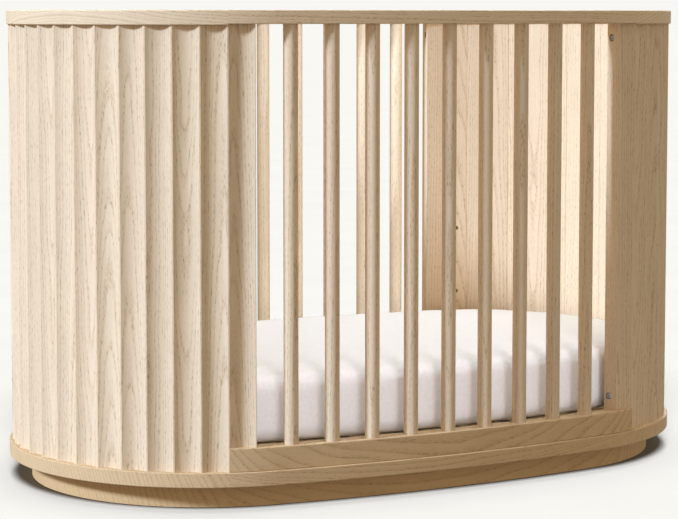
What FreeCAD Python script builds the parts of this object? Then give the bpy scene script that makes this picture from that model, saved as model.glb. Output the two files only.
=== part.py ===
"""Oval baby crib: fluted curved ends, round-spindle sides, a plinth and a height-adjustable mattress.

+X is the crib's length, +Y its rear side, +Z up. The origin is on the floor under the middle.
The plan is a four-arc oval. Each end arc is centred on the X axis, and each side arc on the Y axis,
and they meet where they are tangent. An "inset" is a distance inward from the top rail's outer edge.
"""
import FreeCAD, Part
import math
import os
import re
import Sketcher

# ---------------------------------------------------------------- driving dimensions (mm, degrees)
SIZES = {
    # plan
    "half_length": 736,
    "half_width": 435,
    "end_radius": 414,
    "seam_angle": 70,
    # heights
    "crib_height": 950,
    "glide_thick": 1.5,
    "plinth_top": 48,
    "band_thick": 28.6,
    "bottom_rail_tall": 45.8,
    "side_rail_thick": 26.5,
    "end_rail_thick": 28,
    # widths and insets of the rings
    "rail_width": 42,
    "plinth_inset": 43,
    "plinth_thick": 22,
    "band_proud": 2,
    "band_width": 72,
    "bottom_rail_inset": 1,
    "edge_ease": 2,
    # fluted walls
    "flute_count": 19,
    "flute_inset": 4,
    "flute_depth": 8.5,
    "flute_land": 1.5,
    "wall_thick": 33,
    "arris_ease": 1,
    # spindles
    "spindle_count": 9,
    "spindle_across": 28.5,
    "spindle_inset": 18.5,
    "spindle_tenon": 12,
    "wood_fit": 0.1,
    # dowels in the end grain joints
    "dowel_across": 8,
    "dowel_long": 30,
    "band_dowel_pitch": 210,
    "seam_dowel_in": 12,
    # bolts that join the side panels to the ends
    "bolt_across": 6,
    "bolt_long": 70,
    "bolt_head_across": 10,
    "bolt_head_tall": 6,
    "bolt_from_rail": 29.5,
    "hex_across": 5,
    "hex_deep": 4,
    "sink_across": 15,
    "sink_deep": 10,
    "washer_thick": 1.5,
    "metal_fit": 0.2,
    "insert_across": 10,
    "insert_long": 20,
    "insert_set_in": 1,
    "cut_over": 2,
    # plinth blocks and glides
    "block_size": 34,
    "block_gap": 0.5,
    "block_angle": 35,
    "block_along": 250,
    "screw_sunk": 4,
    "screw_short": 12,
    "screw_across": 5,
    "screw_head_across": 9,
    "screw_head_tall": 2.5,
    "glide_across": 20,
    # mattress and its support
    "mattress_gap": 9,
    "mattress_thick": 140,
    "mattress_edge": 28,
    "mattress_above_band": 38.4,
    "rest_gap": 0.3,
    "support_gap": 10,
    "support_width": 50,
    "support_thick": 20,
    "centre_rail_width": 40,
    "slat_count": 11,
    "slat_width": 70,
    "slat_thick": 10,
    "slat_end_in": 29,
    "slat_set_in": 2,
    "slat_screw_across": 3.4,
    "slat_screw_head": 7,
    "slat_screw_head_tall": 2,
    "slat_screw_sunk": 1,
    "slat_screw_bite": 8,
    # hangers
    "hanger_thick": 3,
    "hanger_width": 40,
    "hanger_reach": 45,
    "hanger_above_bolt": 22,
    "hanger_bolt_up": 61.4,
    "hanger_gap": 0.5,
    "hanger_screw_in": 31,
    "hanger_screw_out": 12,
    "hanger_screw_stop": 4,
    "shoulder_across": 8,
    "shoulder_head_across": 16,
    "shoulder_head_tall": 3,
    "height_step": 150,
    "height_count": 3,
    "wall_insert_long": 15,
}

# ---------------------------------------------------------------- places worked out from them
CENTRE = "(half_length - end_radius)"
SIDE_R = f"(({CENTRE}^2 + half_width^2 - end_radius^2) / (2 * (half_width - end_radius)))"
BAND_TOP = "(plinth_top + band_thick)"
BOTTOM_RAIL_TOP = f"({BAND_TOP} + bottom_rail_tall)"
SIDE_RAIL_FLOOR = "(crib_height - side_rail_thick)"
END_RAIL_FLOOR = "(crib_height - end_rail_thick)"
FLUTE_ANGLE = "(2 * seam_angle / flute_count)"
POST_ANGLE = f"(seam_angle + {FLUTE_ANGLE} / 2)"
HANGER_ANGLE = f"(seam_angle - {FLUTE_ANGLE} / 2)"
WALL_INNER = "(end_radius - flute_inset - wall_thick)"
WALL_CORE = f"({WALL_INNER} + (wall_thick - flute_depth) / 2)"
PANEL_INNER_INSET = "(flute_inset + wall_thick)"
MATTRESS_INSET = f"({PANEL_INNER_INSET} + mattress_gap)"
SUPPORT_INSET = f"({PANEL_INNER_INSET} + support_gap)"
MATTRESS_FLOOR = f"({BAND_TOP} + mattress_above_band)"
SLAT_TOP = f"({MATTRESS_FLOOR} - rest_gap)"
SUPPORT_TOP = f"({SLAT_TOP} - slat_thick)"
SUPPORT_FLOOR = f"({SUPPORT_TOP} - support_thick)"
HANGER_FLOOR = f"({SUPPORT_FLOOR} - hanger_thick)"
HANGER_BOLT_Z = f"({BAND_TOP} + hanger_bolt_up)"
HANGER_FACE = f"({WALL_INNER} - hanger_gap - hanger_thick)"
POST_EDGE_X = f"({CENTRE} + {WALL_CORE} * cos(seam_angle + {FLUTE_ANGLE}))"
SPINDLE_PITCH = f"((2 * {POST_EDGE_X} + spindle_across) / (spindle_count + 1))"
SLAT_PITCH = f"((2 * (half_length - {SUPPORT_INSET} - slat_end_in) - slat_width) / (slat_count - 1))"

# Corners of the plan: name, sign of the end centre, direction from it, side the opening is on.
CORNERS = (
    ("rear_right", 1, "{}", 1),
    ("front_right", 1, "(-{})", -1),
    ("rear_left", -1, "(180 - {})", -1),
    ("front_left", -1, "(180 + {})", 1),
)

doc = FreeCAD.newDocument("baby_crib")
sheet = doc.addObject("Spreadsheet::Sheet", "dims")
for row, (alias, size) in enumerate(SIZES.items(), 1):
    sheet.set(f"A{row}", alias)
    sheet.set(f"B{row}", str(size))
    sheet.setAlias(f"B{row}", alias)
doc.recompute()


def formula(text):
    """The same expression with the sheet's name before each of its aliases."""
    return re.sub(r"[a-z]+_[a-z_]+", lambda word: "dims." + word.group(), text)


def value(text):
    """What an expression comes to now, as a plain number."""
    return float(sheet.evalExpression(formula(text)))


def bind(thing, **sizes):
    """Tie properties of an object to expressions."""
    for name, text in sizes.items():
        thing.setExpression(name, formula(str(text)))
    return thing


def spot(x="0", y="0", z="0", turn="0", tilt="0"):
    """A place: moved to x, y, z, turned about Z, then tilted about its own X axis."""
    turned = f"rotation(vector(0; 0; 1); {turn}) * rotation(vector(1; 0; 0); {tilt})"
    return f"placement(vector({x}; {y}; {z}); {turned})"


def corner_spot(corner, angle, x, y="0", z="0", tilt="0"):
    """A place in a corner's own frame: x outward from the end centre, y towards the opening."""
    _, end, way, opening = corner
    turned = f"placement(vector({end} * {CENTRE}; 0; 0); rotation(vector(0; 0; 1); {way.format(angle)}))"
    tilted = f"rotation(vector(1; 0; 0); {opening} * ({tilt}))"
    local = f"placement(vector({x}; {opening} * ({y}); {z}); {tilted})"
    return f"{turned} * {local}"


def primitive(kind, label, place=None, **sizes):
    """A Part primitive whose sizes and place are expressions."""
    thing = bind(doc.addObject(f"Part::{kind}", label), **sizes)
    if place:
        bind(thing, Placement=place)
    return thing


def copies(label, original, places):
    """Links to one object at many places, gathered in a compound of separate solids."""
    links = []
    for place in places:
        link = doc.addObject("App::Link", label + "_copy")
        link.LinkedObject = original
        link.LinkTransform = True
        links.append(bind(link, Placement=place))
    group = doc.addObject("Part::Compound", label)
    group.Links = links
    return group


def cut(label, base, *tools):
    """The base with each tool cut from it in turn."""
    for number, tool in enumerate(tools, 1):
        name = label if number == len(tools) else f"{label}_cut_{number}"
        result = doc.addObject("Part::Cut", name)
        result.Base = base
        result.Tool = tool
        base = result
    return base


def side_of_outline(start, end, radius):
    """One side from start to end: a line, or an arc that bulges to the right (+) or left (-)."""
    if radius is None:
        return Part.LineSegment(start, end), 1, 2
    half = (end - start) / 2
    reach = math.sqrt(max(radius ** 2 - half.Length ** 2, 0)) / half.Length
    left = FreeCAD.Vector(-half.y, half.x, 0)
    centre = start + half + left * math.copysign(reach, radius)
    first, last = (start, end) if radius > 0 else (end, start)
    begin = math.atan2(first.y - centre.y, first.x - centre.x)
    finish = math.atan2(last.y - centre.y, last.x - centre.x)
    circle = Part.Circle(centre, FreeCAD.Vector(0, 0, 1), abs(radius))
    arc = Part.ArcOfCircle(circle, begin, finish + (2 * math.pi if finish < begin else 0))
    return arc, (1 if radius > 0 else 2), (2 if radius > 0 else 1)


def outline(body, plane, corners):
    """A closed sketch. Each corner is (x, y) or (x, y, radius of the side that leaves it)."""
    sketch = body.newObject("Sketcher::SketchObject", body.Name + "_outline")
    sketch.AttachmentSupport = [(next(o for o in body.Origin.OriginFeatures if o.Role == plane), "")]
    sketch.MapMode = "FlatFace"
    points = [FreeCAD.Vector(value(c[0]), value(c[1]), 0) for c in corners]
    ends = []
    for i, corner in enumerate(corners):
        bulge = corner[2] if len(corner) > 2 else None
        radius = None if bulge is None else value(bulge)
        side, first, last = side_of_outline(points[i], points[(i + 1) % len(points)], radius)
        sketch.addGeometry(side)
        ends.append((first, last))
    rules = []
    for i, corner in enumerate(corners):
        after = (i + 1) % len(corners)
        sketch.addConstraint(Sketcher.Constraint("Coincident", i, ends[i][1], after, ends[after][0]))
        for way, axis, text, place in (("DistanceX", -2, corner[0], points[i].x),
                                       ("DistanceY", -1, corner[1], points[i].y)):
            if abs(place) < 1e-9:
                sketch.addConstraint(Sketcher.Constraint("PointOnObject", i, ends[i][0], axis))
            else:
                rules.append((Sketcher.Constraint(way, -1, 1, i, ends[i][0], place), text))
        if len(corner) > 2:
            radius = value(corner[2])
            rules.append((Sketcher.Constraint("Radius", i, abs(radius)), f"abs({corner[2]})"))
    for number, (rule, text) in enumerate(rules):
        index = sketch.addConstraint(rule)
        sketch.renameConstraint(index, f"size_{number}")
        sketch.setExpression(f"Constraints.size_{number}", formula(text))
    return sketch


def padded(label, plane, corners, length, place=None, midplane=False, ease=None):
    """A body: an outline padded to a length, with its flat curved edges eased if asked."""
    body = doc.addObject("PartDesign::Body", label)
    pad = body.newObject("PartDesign::Pad", label + "_pad")
    pad.Profile = outline(body, plane, corners)
    pad.Midplane = midplane
    bind(pad, Length=length)
    if ease:
        doc.recompute()
        flat = [f"Edge{i}" for i, edge in enumerate(pad.Shape.Edges, 1)
                if edge.BoundBox.ZLength < 1e-6 and isinstance(edge.Curve, Part.Circle)]
        fillet = body.newObject("PartDesign::Fillet", label + "_eased")
        fillet.Base = (pad, flat)
        bind(fillet, Radius=ease)
    if place:
        bind(body, Placement=place)
    return body


# ---------------------------------------------------------------- plan outlines
def on_end_arc(inset, angle, end=1):
    """A point of the end arc at an inset, at an angle from the crib's length."""
    radius = f"(end_radius - {inset})"
    return f"({end} * ({CENTRE} + {radius} * cos({angle})))", f"({radius} * sin({angle}))"


def where_arcs_meet(inset, end=1):
    """The point where the end arc and the side arc of an inset are tangent."""
    share = f"((end_radius - {inset}) / ({SIDE_R} - end_radius))"
    return f"({end} * ({CENTRE} + {share} * {CENTRE}))", f"({share} * ({SIDE_R} - half_width))"


def end_ring(outer, inner):
    """One end of a ring, seam to seam, about the end centre."""
    corners = []
    for inset, sign in ((outer, 1), (inner, -1)):
        radius = f"(end_radius - {inset})"
        across = f"({radius} * sin(seam_angle))"
        along = f"({radius} * cos(seam_angle))"
        corners += [(along, f"(-{sign} * {across})", f"({sign} * {radius})"),
                    (along, f"({sign} * {across})")]
    return corners


def side_ring(outer, inner):
    """One side of a ring, from seam to seam, on the rear of the crib."""
    corners = []
    for inset, end in ((outer, 1), (inner, -1)):
        small = f"({end} * (end_radius - {inset}))"
        large = f"({end} * ({SIDE_R} - {inset}))"
        corners += [(*on_end_arc(inset, "seam_angle", end), small),
                    (*where_arcs_meet(inset, end), large),
                    (*where_arcs_meet(inset, -end), small),
                    on_end_arc(inset, "seam_angle", -end)]
    return corners


def oval(inset):
    """The whole oval at an inset."""
    east, north = where_arcs_meet(inset)
    small = f"(end_radius - {inset})"
    large = f"({SIDE_R} - {inset})"
    return [(east, f"(-{north})", small), (east, north, large),
            (f"(-{east})", north, small), (f"(-{east})", f"(-{north})", large)]


def ring_pieces(name, outer, inner, end_z, end_tall, side_z, side_tall, ease=None, ends=True):
    """The pieces of a ring as blanks: left and right ends, front and rear sides."""
    pieces = {}
    if ends:
        for where, sign, turn in (("right", 1, "0"), ("left", -1, "180")):
            place = spot(x=f"{sign} * {CENTRE}", z=end_z, turn=turn)
            pieces[where] = padded(f"{name}_{where}_blank", "XY_Plane", end_ring(outer, inner),
                                   end_tall, place, ease=ease)
    for where, turn in (("rear", "0"), ("front", "180")):
        pieces[where] = padded(f"{name}_{where}_blank", "XY_Plane", side_ring(outer, inner),
                               side_tall, spot(z=side_z, turn=turn), ease=ease)
    return pieces


# ---------------------------------------------------------------- fluted staves and posts
def stave_outline():
    """One flute wide: a flat inside, sides on the end arc's radii and a hollow outside."""
    half = f"({FLUTE_ANGLE} / 2)"
    ridge = "(end_radius - flute_inset)"
    ridge_x = f"({ridge} * cos({half}))"
    ridge_y = f"({ridge} * sin({half}))"
    lip = f"({ridge_y} - flute_land)"
    hollow = f"(({lip}^2 + flute_depth^2) / (2 * flute_depth))"
    inner_y = f"({WALL_INNER} * tan({half}))"
    eased_x = f"({WALL_INNER} + arris_ease)"
    eased_y = f"({eased_x} * tan({half}))"
    return [(WALL_INNER, f"(-({inner_y} - arris_ease))"), (eased_x, f"(-{eased_y})"),
            (ridge_x, f"(-{ridge_y})"), (ridge_x, f"(-{lip})", f"(-{hollow})"), (ridge_x, lip),
            (ridge_x, ridge_y), (eased_x, eased_y), (WALL_INNER, f"({inner_y} - arris_ease)")]


nodes = []


def node(thing, label):
    """Marks an object as a finished piece with its own name."""
    thing.Label = label
    nodes.append(thing)


# ---------------------------------------------------------------- bores shared by the wood pieces
DOWEL_STAVES = (-8, -4, 0, 4, 8)
dowel = primitive("Cylinder", "dowel", Radius="dowel_across / 2", Height="dowel_long")
dowel_bore = primitive("Cylinder", "dowel_bore", Radius="dowel_across / 2 + wood_fit",
                       Height="dowel_long + 2 * wood_fit")


def end_dowel_places(end, slack="0"):
    """Upright dowels through the joints above and below an end's staves."""
    places = []
    for seam in (END_RAIL_FLOOR, BAND_TOP):
        for step in DOWEL_STAVES:
            angle = f"{90 - 90 * end} + {step} * {FLUTE_ANGLE}"
            x = f"{end} * {CENTRE} + {WALL_CORE} * cos({angle})"
            y = f"{WALL_CORE} * sin({angle})"
            places.append(spot(x=x, y=y, z=f"{seam} - dowel_long / 2 - {slack}"))
    return places


def on_side_arc(inset, x, side):
    """The Y of the side arc at an inset and at an X, on the rear (1) or the front (-1)."""
    return f"({side} * (sqrt(({SIDE_R} - {inset})^2 - ({x})^2) - {SIDE_R} + half_width))"


def side_dowel_places(slack="0"):
    """Upright dowels above and below the posts, and between the bottom rails and the base band."""
    places = [corner_spot(corner, POST_ANGLE, WALL_CORE, z=f"{seam} - dowel_long / 2 - {slack}")
              for corner in CORNERS for seam in (SIDE_RAIL_FLOOR, BOTTOM_RAIL_TOP)]
    for side in (1, -1):
        for step in (-1, 0, 1):
            x = f"{step} * band_dowel_pitch"
            y = on_side_arc(f"(bottom_rail_inset + {PANEL_INNER_INSET}) / 2", x, side)
            places.append(spot(x, y, f"{BAND_TOP} - dowel_long / 2 - {slack}"))
    return places


end_bores = {end: copies(f"end_bores_{name}", dowel_bore, end_dowel_places(end, "wood_fit"))
             for name, end in (("right", 1), ("left", -1))}
side_bores = copies("side_bores", dowel_bore, side_dowel_places("wood_fit"))
node(copies("end_dowels", dowel, end_dowel_places(1) + end_dowel_places(-1)), "end_dowels")
node(copies("side_dowels", dowel, side_dowel_places()), "side_dowels")

# ---------------------------------------------------------------- spindles
SPINDLE_FLOOR = f"({BOTTOM_RAIL_TOP} - spindle_tenon)"
SPINDLE_LONG = f"({SIDE_RAIL_FLOOR} - {BOTTOM_RAIL_TOP} + 2 * spindle_tenon)"
spindle_bore = primitive("Cylinder", "spindle_bore", Radius="spindle_across / 2 + wood_fit",
                         Height=f"{SPINDLE_LONG} + 2 * wood_fit")
spindle_bores = {}
for row, side in (("rear", 1), ("front", -1)):
    spots = []
    for number in range(int(SIZES["spindle_count"])):
        x = f"({number} - (spindle_count - 1) / 2) * {SPINDLE_PITCH}"
        y = on_side_arc("spindle_inset", x, side)
        node(primitive("Cylinder", f"spindle_{row}_{number + 1}", spot(x, y, SPINDLE_FLOOR),
                       Radius="spindle_across / 2", Height=SPINDLE_LONG), f"spindle_{row}_{number + 1}")
        spots.append(spot(x, y, f"{SPINDLE_FLOOR} - wood_fit"))
    spindle_bores[row] = copies(f"spindle_bores_{row}", spindle_bore, spots)

# ---------------------------------------------------------------- bolts from post to end panel
BOLT_SEAT = f"({WALL_CORE} * tan({FLUTE_ANGLE} / 2) - sink_deep)"
BOLT_HEIGHTS = (f"({BOTTOM_RAIL_TOP} + bolt_from_rail)", f"({SIDE_RAIL_FLOOR} - bolt_from_rail)")
INSERT_MOUTH = f"(-{WALL_CORE} * tan({FLUTE_ANGLE} / 2) - insert_set_in)"


def bolt_places(start):
    """Across each post and into the first stave, along +Z of what is placed there."""
    return [corner_spot(corner, POST_ANGLE, WALL_CORE, start, z, "-90")
            for corner in CORNERS for z in BOLT_HEIGHTS]


shank = primitive("Cylinder", "bolt_shank", spot(z="washer_thick - bolt_long"),
                  Radius="bolt_across / 2", Height="bolt_long")
head = primitive("Cylinder", "bolt_head", spot(z="washer_thick"),
                 Radius="bolt_head_across / 2", Height="bolt_head_tall")
bolt_blank = doc.addObject("Part::Fuse", "bolt_blank")
bolt_blank.Base = head
bolt_blank.Tool = shank
hex_socket = primitive("Prism", "hex_socket", spot(z="washer_thick + bolt_head_tall - hex_deep"),
                       Circumradius="hex_across / (2 * cos(30))", Height="hex_deep + 1")
hex_socket.Polygon = 6
bolt = cut("bolt", bolt_blank, hex_socket)
washer = cut("washer",
             primitive("Cylinder", "washer_disc", Radius="sink_across / 2 - metal_fit",
                       Height="washer_thick - metal_fit / 4"),
             primitive("Cylinder", "washer_hole", spot(z="-1"), Radius="bolt_across / 2 + metal_fit",
                       Height="washer_thick + 2"))
insert = cut("bolt_insert",
             primitive("Cylinder", "insert_barrel", spot(z="-insert_long"), Radius="insert_across / 2",
                       Height="insert_long"),
             primitive("Cylinder", "insert_bore", spot(z="-insert_long - 1"),
                       Radius="bolt_across / 2 + wood_fit", Height="insert_long + 2"))
node(copies("panel_bolts", bolt, bolt_places(BOLT_SEAT)), "panel_bolts")
node(copies("panel_bolt_washers", washer, bolt_places(BOLT_SEAT)), "panel_bolt_washers")
node(copies("panel_bolt_inserts", insert, bolt_places(INSERT_MOUTH)), "panel_bolt_inserts")

sink = primitive("Cylinder", "bolt_sink", Radius="sink_across / 2", Height="2 * sink_deep")
clear_hole = primitive("Cylinder", "bolt_clear_hole", spot(z="-bolt_long"),
                       Radius="bolt_across / 2 + metal_fit", Height="bolt_long + 1")
insert_hole = primitive("Cylinder", "bolt_insert_hole", spot(z="-insert_long - bolt_across * 2"),
                        Radius="insert_across / 2 + wood_fit",
                        Height="insert_long + bolt_across * 2 + insert_set_in + cut_over")
bolt_sinks = copies("bolt_sinks", sink, bolt_places(BOLT_SEAT))
bolt_clear_holes = copies("bolt_clear_holes", clear_hole, bolt_places(BOLT_SEAT))
bolt_insert_holes = copies("bolt_insert_holes", insert_hole, bolt_places(INSERT_MOUTH))

# ---------------------------------------------------------------- wall inserts for the hangers
HANGER_HEIGHTS = [f"({HANGER_BOLT_Z} + {step} * height_step)" for step in range(SIZES["height_count"])]


def hanger_bolt_places(heights):
    """Pointing inward from the flat inside of the first stave, along +Z of what is placed there."""
    inward = "placement(vector(0; 0; 0); rotation(vector(0; 1; 0); -90))"
    return [f"{corner_spot(corner, HANGER_ANGLE, WALL_INNER, z=z)} * {inward}"
            for corner in CORNERS for z in heights]


wall_insert = cut("wall_insert",
                  primitive("Cylinder", "wall_insert_barrel", spot(z="-wall_insert_long"),
                            Radius="insert_across / 2", Height="wall_insert_long"),
                  primitive("Cylinder", "wall_insert_bore", spot(z="-wall_insert_long - 1"),
                            Radius="bolt_across / 2 + wood_fit", Height="wall_insert_long + 2"))
wall_insert_hole = primitive("Cylinder", "wall_insert_hole", spot(z="-wall_insert_long - wood_fit"),
                             Radius="insert_across / 2 + wood_fit",
                             Height="wall_insert_long + wood_fit + cut_over")
node(copies("support_inserts", wall_insert, hanger_bolt_places(HANGER_HEIGHTS)), "support_inserts")
wall_insert_holes = copies("wall_insert_holes", wall_insert_hole, hanger_bolt_places(HANGER_HEIGHTS))

SHOULDER_LONG = "(hanger_gap + hanger_thick + rest_gap)"
thread = primitive("Cylinder", "shoulder_thread", spot(z="-wall_insert_long + 1"),
                   Radius="bolt_across / 2", Height="wall_insert_long")
shoulder = primitive("Cylinder", "shoulder", Radius="shoulder_across / 2", Height=SHOULDER_LONG)
shoulder_head = primitive("Cylinder", "shoulder_head", spot(z=SHOULDER_LONG),
                          Radius="shoulder_head_across / 2", Height="shoulder_head_tall")
shoulder_blank = doc.addObject("Part::MultiFuse", "shoulder_blank")
shoulder_blank.Shapes = [thread, shoulder, shoulder_head]
shoulder_socket = primitive("Prism", "shoulder_socket", spot(z=f"{SHOULDER_LONG} + 1"),
                            Circumradius="hex_across / (2 * cos(30))", Height="shoulder_head_tall")
shoulder_socket.Polygon = 6
shoulder_bolt = cut("shoulder_bolt", shoulder_blank, shoulder_socket)
node(copies("shoulder_bolts", shoulder_bolt, hanger_bolt_places(HANGER_HEIGHTS[:1])), "shoulder_bolts")

# ---------------------------------------------------------------- end walls
for name, end in (("right", 1), ("left", -1)):
    stave = padded(f"stave_{name}", "XY_Plane", stave_outline(), f"{END_RAIL_FLOOR} - {BAND_TOP}")
    first = "(flute_count - 1) / 2"
    places = [spot(x=f"{end} * {CENTRE}", z=BAND_TOP,
                   turn=f"{90 - 90 * end} + ({number} - {first}) * {FLUTE_ANGLE}")
              for number in range(SIZES["flute_count"])]
    wall = copies(f"wall_{name}", stave, places)
    node(cut(f"end_staves_{name}", wall, end_bores[end], bolt_insert_holes, wall_insert_holes),
         f"end_staves_{name}")

# ---------------------------------------------------------------- posts
for corner in CORNERS:
    post = padded(f"post_{corner[0]}_blank", "XY_Plane", stave_outline(),
                  f"{SIDE_RAIL_FLOOR} - {BOTTOM_RAIL_TOP}",
                  corner_spot(corner, POST_ANGLE, "0", z=BOTTOM_RAIL_TOP))
    node(cut(f"post_{corner[0]}", post, bolt_sinks, bolt_clear_holes, side_bores), f"post_{corner[0]}")

# ---------------------------------------------------------------- rails and base band
top = ring_pieces("top_rail", "0", "rail_width", END_RAIL_FLOOR, "end_rail_thick",
                  SIDE_RAIL_FLOOR, "side_rail_thick", "edge_ease")
band = ring_pieces("base_band", "(-band_proud)", "(band_width - band_proud)", "plinth_top", "band_thick",
                   "plinth_top", "band_thick", "edge_ease")
low = ring_pieces("bottom_rail", "bottom_rail_inset", PANEL_INNER_INSET, None, None, BAND_TOP,
                  "bottom_rail_tall", "edge_ease", ends=False)
plinth = ring_pieces("plinth", "plinth_inset", "(plinth_inset + plinth_thick)", "glide_thick",
                     "plinth_top - glide_thick", "glide_thick", "plinth_top - glide_thick")
for name, end in (("right", 1), ("left", -1)):
    node(cut(f"top_rail_{name}", top[name], end_bores[end]), f"top_rail_{name}")
for name in ("front", "rear"):
    node(cut(f"top_rail_{name}", top[name], side_bores, spindle_bores[name]), f"top_rail_{name}")
    node(cut(f"bottom_rail_{name}", low[name], side_bores, spindle_bores[name]), f"bottom_rail_{name}")

# ---------------------------------------------------------------- plinth blocks, screws and glides
PLINTH_INNER = "(plinth_inset + plinth_thick + block_gap)"
END_BLOCK = f"(end_radius - {PLINTH_INNER} - block_size)"
SIDE_BLOCK = f"({on_side_arc(PLINTH_INNER, 'block_along + block_size / 2', 1)} - block_size)"
# Each block's frame, and how far out of it the block's inner face is.
BLOCKS = [(spot(x=f"{end} * {CENTRE}", turn=f"{90 - 90 * end} + {way} * block_angle"), END_BLOCK)
          for end in (1, -1) for way in (1, -1)]
BLOCKS += [(spot(x=f"{way} * block_along", turn=f"{90 * side}"), SIDE_BLOCK)
           for side in (1, -1) for way in (1, -1)]
SCREW_Z = "(glide_thick + screw_sunk)"
SCREW_LONG = f"({BAND_TOP} - {SCREW_Z} - screw_short)"


def block_spots(x, y, z):
    """Places in the frame of each block, which stands against the plinth's inside."""
    return [f"{frame} * {spot(f'{out} + {x}', y, z)}" for frame, out in BLOCKS]


block = primitive("Box", "block", Length="block_size", Width="block_size",
                  Height="plinth_top - glide_thick - 2 * block_gap")
blocks = copies("blocks_blank", block, block_spots("0", "-block_size / 2", "glide_thick + block_gap"))
screw_hole = primitive("Cylinder", "screw_hole", Radius="screw_across / 2 + wood_fit",
                       Height=f"{SCREW_LONG} + wood_fit")
head_hole = primitive("Cylinder", "screw_head_hole", spot(z="-2 * screw_sunk"),
                      Radius="screw_head_across / 2 + wood_fit",
                      Height="2 * screw_sunk + screw_head_tall + wood_fit")
plinth_screw = doc.addObject("Part::Fuse", "plinth_screw")
plinth_screw.Base = primitive("Cylinder", "plinth_screw_shank", Radius="screw_across / 2",
                              Height=SCREW_LONG)
plinth_screw.Tool = primitive("Cylinder", "plinth_screw_head", Radius="screw_head_across / 2",
                              Height="screw_head_tall")
screw_spots = block_spots("block_size / 2", "0", SCREW_Z)
screw_holes = copies("screw_holes", screw_hole, screw_spots)
head_holes = copies("head_holes", head_hole, screw_spots)
node(cut("plinth_blocks", blocks, screw_holes, head_holes), "plinth_blocks")
node(copies("plinth_screws", plinth_screw, screw_spots), "plinth_screws")
for name, bores in (("right", end_bores[1]), ("left", end_bores[-1]),
                    ("front", side_bores), ("rear", side_bores)):
    node(cut(f"base_band_{name}", band[name], bores, screw_holes), f"base_band_{name}")
    node(plinth[name], f"plinth_{name}")

glide = primitive("Cylinder", "glide", Radius="glide_across / 2", Height="glide_thick")
GLIDE_RADIUS = "(end_radius - plinth_inset - plinth_thick / 2)"
glide_places = []
for end in (1, -1):
    for turn in (0, 45, -45):
        angle = f"({90 - 90 * end} + {turn})"
        glide_places.append(spot(x=f"{end} * {CENTRE} + {GLIDE_RADIUS} * cos({angle})",
                                 y=f"{GLIDE_RADIUS} * sin({angle})"))
for side in (1, -1):
    glide_places.append(spot(y=f"{side} * (half_width - plinth_inset - plinth_thick / 2)"))
node(copies("glides", glide, glide_places), "glides")

# ---------------------------------------------------------------- mattress support
SUPPORT_INNER = f"({SUPPORT_INSET} + support_width)"
frame = ring_pieces("support", SUPPORT_INSET, SUPPORT_INNER, SUPPORT_FLOOR, "support_thick",
                    SUPPORT_FLOOR, "support_thick")
SEAM_RADIUS = f"(end_radius - {SUPPORT_INNER} + seam_dowel_in)"
seam_places = [corner_spot(corner, "seam_angle", SEAM_RADIUS, "-dowel_long",
                           f"{SUPPORT_FLOOR} + support_thick / 2", "-90") for corner in CORNERS]
seam_dowel = primitive("Cylinder", "seam_dowel", Radius="dowel_across / 2", Height="2 * dowel_long")
seam_bore = primitive("Cylinder", "seam_bore", spot(z="-wood_fit"), Radius="dowel_across / 2 + wood_fit",
                      Height="2 * dowel_long + 2 * wood_fit")
seam_bores = copies("seam_bores", seam_bore, seam_places)
node(copies("support_dowels", seam_dowel, seam_places), "support_dowels")

hanger_screw = doc.addObject("Part::Fuse", "hanger_screw")
hanger_screw.Base = primitive("Cylinder", "hanger_screw_shank", Radius="screw_across / 2",
                              Height="hanger_thick + support_thick - hanger_screw_stop")
hanger_screw.Tool = primitive("Cylinder", "hanger_screw_head", spot(z="-screw_head_tall"),
                              Radius="screw_head_across / 2", Height="screw_head_tall")
hanger_screw_hole = primitive("Cylinder", "hanger_screw_hole", spot(z="-1"),
                              Radius="screw_across / 2 + metal_fit",
                              Height="hanger_thick + support_thick - hanger_screw_stop + wood_fit + 1")
hanger_screw_places = [
    corner_spot(corner, HANGER_ANGLE, f"{HANGER_FACE} - hanger_screw_in", f"{way} * hanger_screw_out",
                HANGER_FLOOR) for corner in CORNERS for way in (1, -1)]
hanger_screw_holes = copies("hanger_screw_holes", hanger_screw_hole, hanger_screw_places)
node(copies("hanger_screws", hanger_screw, hanger_screw_places), "hanger_screws")
CENTRE_HALF = (f"({CENTRE} + sqrt((end_radius - {SUPPORT_INNER})^2 - (centre_rail_width / 2)^2)"
               " - rest_gap)")
centre_rail = primitive("Box", "support_centre_rail",
                        spot(f"-{CENTRE_HALF}", "-centre_rail_width / 2", SUPPORT_FLOOR),
                        Length=f"2 * {CENTRE_HALF}", Width="centre_rail_width", Height="support_thick")
node(centre_rail, "support_centre_rail")

slats = []
slat_screw_places = []
for number in range(SIZES["slat_count"]):
    middle = f"(({number} - (slat_count - 1) / 2) * {SLAT_PITCH})"
    far = f"(abs({middle}) + slat_width / 2)"
    inset = f"({SUPPORT_INSET} + slat_set_in)"
    half = f"(sqrt((end_radius - {inset})^2 - ({far} - {CENTRE})^2))"
    if value(far) < value(where_arcs_meet(inset)[0]):
        half = on_side_arc(inset, far, 1)
    slats.append(primitive("Box", f"slat_{number + 1}",
                           spot(f"{middle} - slat_width / 2", f"-{half}", SUPPORT_TOP),
                           Length="slat_width", Width=f"2 * {half}", Height="slat_thick"))
    for way in (1, -1):
        slat_screw_places.append(spot(middle, f"{way} * ({half} - support_width / 3)",
                                      f"{SLAT_TOP} - slat_screw_sunk"))
slat_screw = doc.addObject("Part::Fuse", "slat_screw")
slat_screw.Base = primitive("Cylinder", "slat_screw_shank", spot(z="-slat_thick - slat_screw_bite"),
                            Radius="slat_screw_across / 2", Height="slat_thick + slat_screw_bite")
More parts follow.
